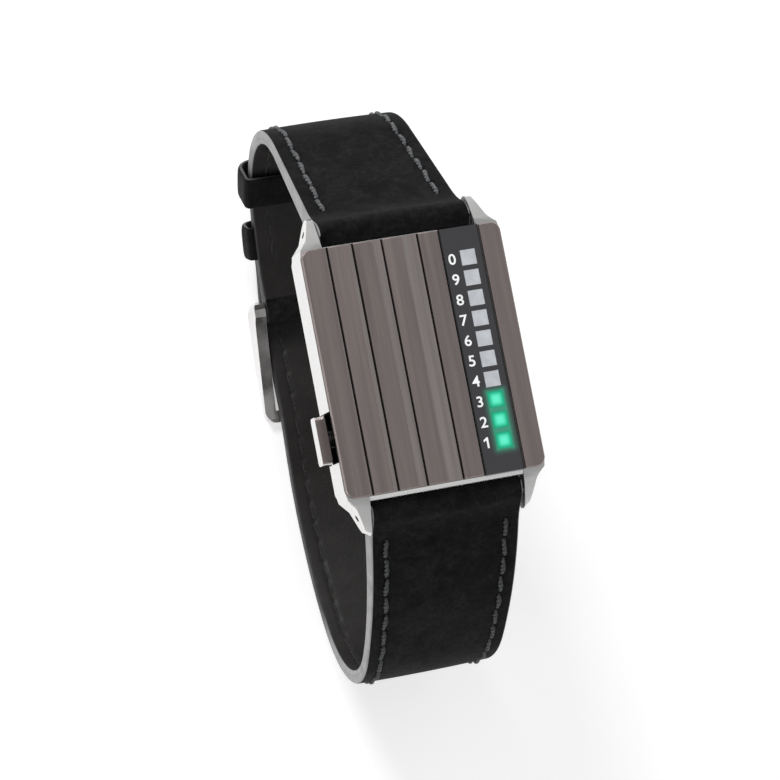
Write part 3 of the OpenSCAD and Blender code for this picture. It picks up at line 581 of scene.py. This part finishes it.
slot_of = {s["node"]: s["material_slot"] for s in frame["record"]["subparts"]}
finish_of = {
    "polished_steel": polished, "plated_steel": plated, "pusher_steel": plated,
    "back_steel": satin, "bar_steel": bright, "spring_steel": wire,
    "display_plastic": strip_paint, "unlit_lens": unlit_paint, "lit_lens": lit_paint,
    "mask_plastic": mask, "holder_plastic": holder, "board": board,
    "chip_white": lamp, "chip_black": chip, "crystal_can": bright, "capacitor": ceramic,
    "plunger": plunger_red, "cell_steel": cell_metal, "contact_brass": brass,
    "seal_rubber": rubber, "suede": suede_black, "lining": lining_leather,
    "keeper_leather": suede_keeper}
for name, o in frame["nodes"].items():
    o.data.materials.clear()
    o.data.materials.append(finish_of[slot_of[name]].m)
# Painted shade: dark, because they show in the pusher's notch
for name in ("pusher_tube", "pusher_spring"):
    frame["nodes"][name].data.materials[0] = recess_shade.m


def bevelled(node, body, paints, width, segments=2, pick=None, refit=None, cut_z=None):
    """A copy of a solid in its place, with bevelled edges and flat faces kept flat.

    refit moves its points, which cut_z adds to at one height, and pick gives each face its paint.
    """
    mesh = frame["nodes"][node].data.copy()
    mesh.materials.clear()
    b = bmesh.new()
    b.from_mesh(mesh)
    bmesh.ops.remove_doubles(b, verts=b.verts, dist=2e-6)
    bmesh.ops.dissolve_limit(b, angle_limit=math.radians(0.6), verts=b.verts, edges=b.edges)
    if cut_z:
        bmesh.ops.bisect_plane(b, geom=b.verts[:] + b.edges[:] + b.faces[:],
                               plane_co=(0, 0, cut_z*MM), plane_no=(0, 0, 1))
    for v in b.verts if refit else ():
        v.co = [c*MM for c in refit(*(c/MM for c in v.co))]
    b.to_mesh(mesh)
    b.free()
    o = add(node + "_finished", mesh, paints, body, [node])
    m = o.modifiers.new("bevel", "BEVEL")
    m.width = width*MM
    m.segments = segments
    m.limit_method = "ANGLE"
    m.angle_limit = math.radians(30)
    mesh = applied(o)
    mesh.polygons.foreach_set("use_smooth", [True]*len(mesh.polygons))
    if pick:
        mesh.polygons.foreach_set("material_index", [pick(f) for f in mesh.polygons])
    mesh.set_sharp_from_angle(angle=math.radians(50))
    w = o.modifiers.new("flat faces", "WEIGHTED_NORMAL")
    w.keep_sharp = True
    w.weight = 100
    applied(o)


def frame_face(f):
    """Painted shade in the pusher's notch and bars' holes, painted reflection (matt white) at the
    ends, polished elsewhere.
    """
    x, y, z = (c/MM for c in f.center)
    if NOTCH_X[0] < x < NOTCH_X[1] and NOTCH_Y[0] < y < NOTCH_Y[1] and z < FRAME_TOP:
        return 1
    if math.hypot(abs(y) - BAR_Y, z - BAR_Z) < BAR_HOLE_R and abs(f.normal.x) < 0.3:
        return 1
    at_end = abs(x) < LUG_X - 0.01 and abs(y) > CASE_LEN/2 - 0.15
    return 2 if at_end and f.normal.z > -0.5 else 0


def slim_lugs(x, y, z):
    """Draws the lugs in on their outer sides and brings out the end at 6 o'clock."""
    if abs(y) > CASE_LEN/2 + 0.02 and abs(x) > LUG_X + 0.01:
        x = math.copysign(LUG_X + (abs(x) - LUG_X)*LUG_SLIM, x)
    elif y < -CASE_LEN/2 + 0.02 and abs(x) < LUG_X + 0.01 and z < END_EDGE + 0.1:
        y -= END_OUT
    return x, y, z


def cover_face(f):
    """Painted shade in the deep slots, a painted highlight on the broken edges facing +x, lighter
    in the bands, plated elsewhere.
    """
    x, y, z = (c/MM for c in f.center)
    if z < SLOT_Z and abs(x) < COVER_X and abs(y) < COVER_Y:
        return 1
    if 0.25 < f.normal.x < 0.95 and abs(x) < COVER_X:
        return 2
    return 3 if z < BAND_Z and f.normal.z > 0.9 else 0


def longer_head(x, y, z):
    """Brings the pusher's head to its full length and reach."""
    if x < HEAD_X:
        y = HEAD_Y - 0.05 + (y - HEAD_Y)*HEAD_LONG
    return x - HEAD_OUT if x < HEAD_FACE_X else x, y, z


def head_face(f):
    """Polished outer face and ends, plated above and below."""
    return 1 if f.normal.x < -0.5 or abs(f.normal.y) > 0.6 else 0


bevelled("case_frame", "watch", [polished, recess_shade, end_reflection_white], 0.12,
         pick=frame_face, refit=slim_lugs, cut_z=END_EDGE)
bevelled("ribbed_cover", "watch", [plated, recess_shade, edge_highlight_steel, band_steel], 0.1, 1,
         pick=cover_face)
bevelled("side_cover", "watch", [plated], 0.05)
bevelled("display_strip", "watch", [strip_paint], 0.03)
bevelled("case_back", "watch", [satin], 0.08)
bevelled("buckle_frame", "buckle_frame", [polished], 0.25, 3)
bevelled("buckle_tang", "buckle_tang", [polished], 0.18, 3)
bevelled("pusher_button", "pusher", [plated, polished], 0.2, 3,
         pick=head_face, refit=longer_head)


# Strap: leather and lining as fine skins with rounded edges, seam channels and puckers

PITCH_S = 3.3  # length of a stitch
CHANNEL, CHANNEL_RUN, PRESS, PRICK = 0.36, 0.8, 0.10, 0.20  # width, run-out and depths of the seam
EDGE_TOP, EDGE_LINING = 0.45, 0.35  # radii of the long edges
CROWN_TOP, CROWN_LINING = 0.14, 0.05  # fall of the surface towards the edges
RING_STEP, SIDE_POINTS = 0.33, 18


class Seam:
    """A row of stitches on both sides of a strap, inset from its edges."""

    def __init__(self, strap, start, count, inset):
        self.strap, self.start, self.count, self.inset = strap, start, count, inset
        self.end = start + count*PITCH_S

    def u(self, s):
        """How far from the middle a row lies."""
        w = self.strap.width(s)
        return w - self.inset*min(1, w/5)

    def depth(self, u, s):
        """Depth of the pressed channel, deeper at each hole."""
        if not self.start - CHANNEL_RUN < s < self.end + CHANNEL_RUN:
            return 0
        d = (abs(u) - self.u(s))/CHANNEL
        if abs(d) > 3:
            return 0
        hole = max(0, math.cos(2*math.pi*(s - self.start)/PITCH_S))**6
        ends = min(1, (s - self.start + CHANNEL_RUN)/CHANNEL_RUN,
                   (self.end + CHANNEL_RUN - s)/CHANNEL_RUN)
        return ends*math.exp(-d*d)*(PRESS + PRICK*hole)


def columns(w, e, inset):
    """Distances from the middle to the edge, close together over the seam."""
    seam = w - inset*min(1, w/5)
    near = [seam + k*0.16 for k in range(-6, 7) if 0 < seam + k*0.16 < w - e - 0.05]
    first = near[0] if near else 0.5*(w - e)
    middle = [first*k/6 for k in range(1, 6)]
    rest = w - e
    return (middle + near + [rest]) if near else [rest*k/7 for k in range(1, 8)]


def strap_section(strap, s, seam, upper, full, n_side):
    """Outline of one layer at s as (u, n, tag): tag 1 is a cut edge and 2 the hidden side."""
    w, h, low = strap.width(s), strap.half(s), strap.low(s)
    split = -low if full else -h + min(LINING_T, 1.1*h)
    show, hide = (h, split) if upper else (-low, split)
    sign = 1 if upper else -1
    e = min(EDGE_TOP if upper else EDGE_LINING, 0.7*abs(show - hide), 0.5*w)
    crown = min(CROWN_TOP if upper else CROWN_LINING, 0.3*abs(show - hide))
    cols = columns(w, e, seam.inset)
    last = len(cols) - 1
    cols = [0] + [cols[min(last, round(k*last/(n_side - 1)))] for k in range(n_side)]
    right = []
    for u in cols:
        c = u/max(w - e, 1e-6)
        n = show - sign*(crown*c*c + seam.depth(u, s))
        right.append((u, n, 0))
    for k in range(1, 6):
        a = k*math.pi/10
        n = show - sign*(crown + (e - crown)*(1 - math.cos(a)))
        right.append((w - e + e*math.sin(a), n, 1 if k > 1 else 0))
    right += [(w, hide + sign*0.02, 1), (w - 0.05, hide, 2)]
    left = [(-u, n, tag) for u, n, tag in reversed(right[1:])]
    return left + right + [(0, hide, 2)]


def strap_skin(name, strap, seam, upper, node, paint):
    """The leather goes round the bars, and the lining lies between the folds."""
    end = strap.whole - (FOLD if strap.short else 0.02)
    stations = []
    if upper:
        stations = [-ROOT_END*f for f in (0.99, 0.93, 0.8, 0.6, 0.3)]
        stations += [0, 0.4, 0.8, 1.2, 1.6, FOLD - 0.02]
    n_mid = int((end - FOLD)/RING_STEP)
    stations += [FOLD + (end - FOLD)*k/n_mid for k in range(n_mid + 1)]
    if upper and strap.short:
        stations += [end + f for f in (0.02, 0.5, 1, 1.5, FOLD)]
        stations += [strap.whole + EYE_R*f for f in (0.3, 0.6, 0.8, 0.93, 0.99)]
    verts, tags = [], []
    for s in stations:
        full = upper and (s < FOLD - 0.01 or (strap.short and s > end + 0.01))
        ring = strap_section(strap, s, seam, upper, full, SIDE_POINTS)
        for u, n, tag in ring:
            verts.append((u, *strap.at(s, n)))
            tags.append(tag)
    faces = ring_faces(len(stations), len(ring))
    mats = [1 if min(tags[i] for i in f) >= 1 and len(f) == 4 else 0 for f in faces]
    for k, f in enumerate(faces):
        s = stations[min(f)//len(ring)]
        folded = upper and (s < FOLD - 0.01 or (strap.short and s > end))
        if folded and all(tags[i] == 2 for i in f):
            mats[k] = 0
    return add(name, mesh_of(name, verts, faces, mats), [paint, edge_paint], "watch",
               [node])


def cut(o, cutters):
    """Cuts closed shapes, each a list of points and faces, out of a piece."""
    for verts, faces in cutters:
        tool = bpy.data.objects.new("cutter", mesh_of("cutter", verts, faces))
        bpy.context.scene.collection.objects.link(tool)
        m = o.modifiers.new("cut", "BOOLEAN")
        m.operation = "DIFFERENCE"
        m.object = tool
        m.solver = "EXACT"
        applied(o)
        bpy.data.objects.remove(tool)
    o.data.polygons.foreach_set("use_smooth", [True]*len(o.data.polygons))
    o.data.set_sharp_from_angle(angle=math.radians(40))


def hole_at(s, r, n=28):
    """A round hole through the long strap."""
    p = place(long_route, s)
    h = math.radians(p[2])
    ring = []
    for d in (-3, 3):
        for k in range(n):
            a = 2*math.pi*k/n
            v = r*math.sin(a)
            ring.append((r*math.cos(a), p[0] + v*math.cos(h) - d*math.sin(h),
                         p[1] + v*math.sin(h) + d*math.cos(h)))
    return ring, ring_faces(2, n)


def slot_cut(half, y0, y1, z0, z1):
    """A square slot in the middle, for the tongue."""
    corners = ((-half, y0), (half, y0), (half, y1), (-half, y1))
    v = [(x, y, z) for z in (z0, z1) for x, y in corners]
    return v, [(3, 2, 1, 0), (4, 5, 6, 7), (0, 1, 5, 4), (1, 2, 6, 5), (2, 3, 7, 6), (3, 0, 4, 7)]


def bar_bore(y, z, n=32):
    """The bore for a spring bar."""
    turns = [2*math.pi*k/n for k in range(n)]
    ring = [(x, y + BORE_R*math.cos(a), z + BORE_R*math.sin(a)) for x in (-12, 12) for a in turns]
    return ring, ring_faces(2, n)


by, bz = buckle
short_seam = Seam(short_strap, 4.4, 16, 2.35)
long_seam = Seam(long_strap, 3.7, 36, 2.05)
eye_slot = slot_cut(1.2, by - 3, by + 1.85, bz - 2.6, bz + 2.6)
tongue_slot = slot_cut(1.2, by - 5.9, by + 0.2, bz - 4.6, bz - 1.2)
holes = [hole_at(hole_s + k*HOLE_PITCH, HOLE_R) for k in (-3, -2, -1, 2, 3)]
for upper, layer, paint in ((True, "leather", suede_black), (False, "lining", lining_leather)):
    o = strap_skin("short_" + layer, short_strap, short_seam, upper, "short_strap_" + layer,
                   paint)
    cut(o, [bar_bore(BAR_Y, BAR_Z), bar_bore(by, bz), eye_slot] if upper else [eye_slot])
    o = strap_skin("long_" + layer, long_strap, long_seam, upper, "long_strap_" + layer, paint)
    cut(o, ([bar_bore(-BAR_Y, BAR_Z)] if upper else []) + [tongue_slot] + holes)


# Stitches: two twisted strands in a hump from hole to hole

SINK = 0.20


def stitches(name, seam, upper, paint, thick, rise, sink_after=1e9):
    """Both rows of a seam, pressed deeper past sink_after, where the other half lies on them."""
    verts, faces = [], []
    n_ring, n_step = 6, 16
    sign = 1 if upper else -1
    for k in range(seam.count):
        a, b = seam.start + k*PITCH_S + 0.14, seam.start + (k + 1)*PITCH_S - 0.14
        flat = SINK if a > sink_after else 0
        for hand in (-1, 1):
            for strand in (0, 1):
                start = len(verts)
                for i in range(n_step + 1):
                    f = i/n_step
                    s = a + (b - a)*f
                    arch = math.sin(math.pi*f)**0.5
                    twist = 2*math.pi*f*2.2 + 1.7*k + math.pi*strand
                    wander = 0.07*math.sin(2.9*k + 4*f + hand)
                    r = thick*0.30*(0.55 + 0.45*arch)*(1 + 0.14*math.sin(7.3*k + 9*f))
                    hump = seam.strap.half(s) - 0.40 + (rise - flat)*arch
                    u0 = hand*(seam.u(s) + wander + 0.2*(f - 0.5)) + 0.7*r*math.cos(twist)
                    n0 = sign*hump + 0.7*r*math.sin(twist)
                    for j in range(n_ring):
                        q = 2*math.pi*j/n_ring
                        verts.append((u0 + r*math.cos(q), *seam.strap.at(s, n0 + r*math.sin(q))))
                faces += ring_faces(n_step + 1, n_ring, start)
    add(name, mesh_of(name, verts, faces), [paint], "watch")


stitches("short_stitches", short_seam, True, thread, 0.72, 0.36, short_len - 28)
stitches("short_lining_stitches", short_seam, False, dark_thread, 0.4, 0.30)
stitches("long_stitches", long_seam, True, thread, 0.72, 0.36)
stitches("long_lining_stitches", long_seam, False, dark_thread, 0.4, 0.30, hole_s)


# Keepers: leather bands with rounded corners and edges

def keeper(name, node, body, centre, r0, r1, w, middle, thin, curve):
    """A band between radii r0 and r1 with half width w, thin on its wrist side.

    It lies at the angle middle about the centre, and curve bends it about that.
    """
    loop = []
    half_w = w + KEEPER_T/2
    low, high = r0 - thin/2, r1 + KEEPER_T/2
    top_r, low_r = min(KEEPER_BEND - KEEPER_T/2, (high - low)*0.45), 0.55
    top, base = high - top_r, low + low_r
    corners = ((half_w - top_r, top, 0, top_r), (-half_w + top_r, top, 90, top_r),
               (-half_w + low_r, base, 180, low_r), (half_w - low_r, base, 270, low_r))
    for cx, cr, a0, rad in corners:
        for k in range(9):
            a = math.radians(a0 + 90*k/8)
            loop.append((cx + rad*math.cos(a), cr + rad*math.sin(a), math.cos(a), math.sin(a)))
    full = []
    for a, b in zip(loop, loop[1:] + loop[:1]):
        full.append(a)
        if math.dist(a[:2], b[:2]) > 1.2:
            full += [tuple(p + (q - p)*j/8 for p, q in zip(a, b)) for j in range(1, 8)]
    n = 28
    profile = []
    for k in range(n):
        c, s = math.cos(2*math.pi*k/n), math.sin(2*math.pi*k/n)
        profile.append((math.copysign(abs(c)**0.5, c)*KEEPER_W/2, math.copysign(abs(s)**0.65, s)/2))
    turn = math.radians(middle)
    verts = []
    for x, r, nx, nr in full:
        f = min(1, max(0, (r - low)/(0.5*(high - low))))
        t = thin + (KEEPER_T - thin)*f
        m = math.hypot(nx, nr) or 1
        for run, out in profile:
            px, pr = x + nx/m*out*t, r + nr/m*out*t
            a = turn + (run/r0 if curve else 0)
            shift = 0 if curve else run
            verts.append((px, centre[0] + pr*math.cos(a) - shift*math.sin(a),
                          centre[1] + pr*math.sin(a) + shift*math.cos(a)))
    faces = ring_faces(len(full), n, closed=True)
    edge = [1 if abs(math.cos(2*math.pi*(j + 0.5)/n)) > 0.97 else 0 for j in range(n)]*len(full)
    add(name, mesh_of(name, verts, faces, edge), [suede_keeper, keeper_edge], body,
        [node])


keeper_edge = Paint("keeper_edge", (0.05, 0.05, 0.05), 0.5)
keeper_edge.colour(keeper_edge.ramp(keeper_edge.noise(0.8, 4), (0.3, 0.035), (0.7, 0.08)))

free_s = short_len - FREE_AT
free_angle = crest_heading + 90 + math.degrees((crest_s - free_s)/CREST_R)
keeper("free_keeper_band", "free_keeper", "free_keeper", crest_c, CREST_R - SHORT_T/2 - LOOSE,
       CREST_R + tail_d + TAIL_T/2 + LOOSE, short_strap.width(free_s) + LOOSE,
       free_angle, KEEPER_T, False)
fixed_mid = place(short_route, short_len - FIXED_AT)
fixed_c = outside(fixed_mid, -BACK_R, 1)
keeper("fixed_keeper_band", "fixed_keeper", "watch", fixed_c, BACK_R - SHORT_T/2 + LINING_T - 0.05,
       BACK_R + tail_d + TAIL_T/2 + LOOSE, short_strap.width(fixed_mid[3]) + KEEPER_BULGE,
       fixed_mid[2] + 90, KEEPER_T/3, True)


# Floor, light and air

FLOOR = 3  # metres from the middle to an edge
floor_z = cad_box[0][2]
floor_paint = Paint("floor", (0.85, 0.85, 0.85), 0.9, Specular_IOR_Level=0.0)
floor_paint.s.inputs["Emission Color"].default_value = (1, 1, 1, 1)
floor_paint.s.inputs["Emission Strength"].default_value = 0.45
floor_mesh = bpy.data.meshes.new("floor")
floor_corners = ((-FLOOR, -FLOOR), (FLOOR, -FLOOR), (FLOOR, FLOOR), (-FLOOR, FLOOR))
floor_mesh.from_pydata([(x, y, floor_z) for x, y in floor_corners], [], [(0, 1, 2, 3)])
floor_mesh.materials.append(floor_paint.m)
floor = bpy.data.objects.new("floor", floor_mesh)
bpy.context.scene.collection.objects.link(floor)

world = bpy.data.worlds.new("studio")
bpy.context.scene.world = world
world.use_nodes = True
nodes, links = world.node_tree.nodes, world.node_tree.links
ways = nodes.new("ShaderNodeTexCoord")
parts = nodes.new("ShaderNodeSeparateXYZ")
tone = nodes.new("ShaderNodeValToRGB")
links.new(ways.outputs["Generated"], parts.inputs[0])
links.new(parts.outputs["Z"], tone.inputs["Fac"])
tone.color_ramp.elements[0].position = 0.0
tone.color_ramp.elements[0].color = (0.95, 0.95, 0.95, 1)
tone.color_ramp.elements[1].position = 1.0
tone.color_ramp.elements[1].color = (0.50, 0.50, 0.505, 1)
links.new(tone.outputs["Color"], nodes["Background"].inputs["Color"])
nodes["Background"].inputs["Strength"].default_value = 0.8


def light(name, at, aim, size, power):
    """A soft area light at a place, turned to a point."""
    data = bpy.data.lights.new(name, "AREA")
    data.shape = "RECTANGLE"
    data.size, data.size_y = size
    data.energy = power
    o = bpy.data.objects.new(name, data)
    o.location = at
    o.rotation_euler = (Vector(aim) - Vector(at)).to_track_quat("-Z", "Y").to_euler()
    bpy.context.scene.collection.objects.link(o)


light("key", (-0.25, 0.6, 0.5), (0, -0.02, -0.03), (0.25, 0.25), 3.2)
light("left", (-0.6, -0.15, 0.12), (0, 0, -0.02), (0.25, 0.6), 0.8)
